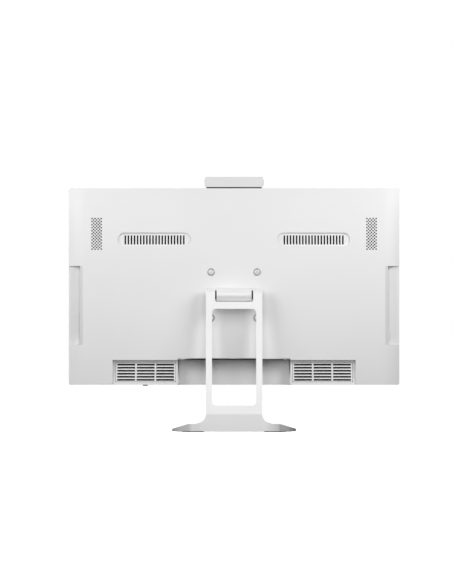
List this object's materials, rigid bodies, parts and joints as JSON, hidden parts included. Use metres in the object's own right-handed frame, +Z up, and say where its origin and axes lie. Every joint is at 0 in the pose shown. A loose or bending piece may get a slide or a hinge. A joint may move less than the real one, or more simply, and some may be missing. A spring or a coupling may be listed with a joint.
{
  "type": "all in one computer",
  "caption": "Slim desktop computer built into its display, with a swelling silver back, louvred vents, a raised camera and a tilting hollow neck on a wishbone foot.",
  "frame": {"origin": "centre of the footprint, on the table under the rubber pads", "axes": "+Z up, +X along the display's width to the side with the audio jack, -Y out of the screen"},
  "size_m": [0.54, 0.19, 0.4164],
  "materials": {
    "silver_plastic": "satin painted silver white",
    "silver_paint": "satin silver white paint",
    "black_plastic": "fine matt black",
    "dark_plastic": "matt dark grey",
    "dark_steel": "matt, hollow module counted at plastic weight",
    "bare_steel": "bare sheet steel",
    "bright_screws": "zinc plated",
    "screen_glass": "anti-glare dark panel",
    "dark_glass": "polished",
    "board_green": "solder mask",
    "brass_posts": "turned",
    "copper": "bare copper",
    "aluminium_fins": "bare",
    "dark_washers": "moulded friction ring",
    "rubber_pads": "matt",
    "filter_mesh": "black woven mesh"
  },
  "bodies": {
    "stand": {"neck": "silver_paint", "foot": "silver_paint", "rear_pads": "rubber_pads", "front_pads": "rubber_pads", "hinge_shaft": "bare_steel", "friction_washers": "dark_washers", "stand_screws": "bright_screws"},
    "display": {"display_cell": "screen_glass", "front_bezel": "black_plastic", "backlight_tray": "dark_steel", "middle_frame": "silver_plastic", "rear_cover": "silver_plastic", "corner_covers": "silver_plastic", "side_port_plates": "silver_plastic", "wing_covers": "silver_plastic", "port_bay_cover": "silver_plastic", "louvre_grille_left": "silver_plastic", "louvre_grille_right": "silver_plastic", "vent_grille_left": "silver_plastic", "vent_grille_right": "silver_plastic", "chassis_plate": "bare_steel", "motherboard": "board_green", "board_posts": "brass_posts", "processor": "bare_steel", "cold_plate": "copper", "heat_pipe": "copper", "cooling_fins": "aluminium_fins", "blower_housing": "dark_plastic", "memory_sockets": "dark_plastic", "memory_module": "board_green", "solid_state_drive": "board_green", "wireless_card": "board_green", "hard_drive": "aluminium_fins", "drive_caddy": "bare_steel", "loudspeakers": "dark_plastic", "power_inlet": "dark_plastic", "display_port_socket": "bare_steel", "network_socket": "dark_plastic", "rear_usb_sockets": "bare_steel", "port_strip": "dark_plastic", "side_usb_sockets": "bare_steel", "audio_jack": "dark_plastic", "side_port_board": "board_green", "lock_collar": "silver_plastic", "hinge_barrel": "silver_paint", "hinge_bracket": "silver_paint", "mount_plate": "bare_steel", "mount_posts": "bare_steel", "bracket_rivets": "bare_steel", "vesa_screws": "bright_screws", "camera_guide": "dark_plastic", "camera_springs": "bare_steel", "button_board": "board_green", "dust_filters": "filter_mesh"},
    "camera": {"camera_pod": "silver_plastic", "camera_window": "dark_glass", "camera_lens": "dark_plastic", "camera_stem": "dark_plastic"},
    "power_button": {"power_button": "dark_plastic"},
    "rotor": {"blower_rotor": "dark_plastic"}
  },
  "joints": [
    {"name": "display_tilt", "type": "hinge", "parent": "stand", "child": "display", "pos_m": [0, 0.0495, 0.224], "axis": [-1, 0, 0], "range_deg": [-5, 20]},
    {"name": "camera_lift", "type": "slide", "parent": "display", "child": "camera", "axis": [0, 0, 1], "range_m": [-0.017, 0], "stiffness_N_per_m": 60, "springref_m": 0.008, "deforming": ["camera_springs"]},
    {"name": "power_press", "type": "slide", "parent": "display", "child": "power_button", "axis": [0, 0, 1], "range_m": [0, 0.001], "stiffness_N_per_m": 400, "springref_m": -0.0004},
    {"name": "rotor_spin", "type": "hinge", "parent": "display", "child": "rotor", "pos_m": [-0.15, 0.0165, 0.262], "axis": [0, 1, 0], "continuous": true}
  ]
}
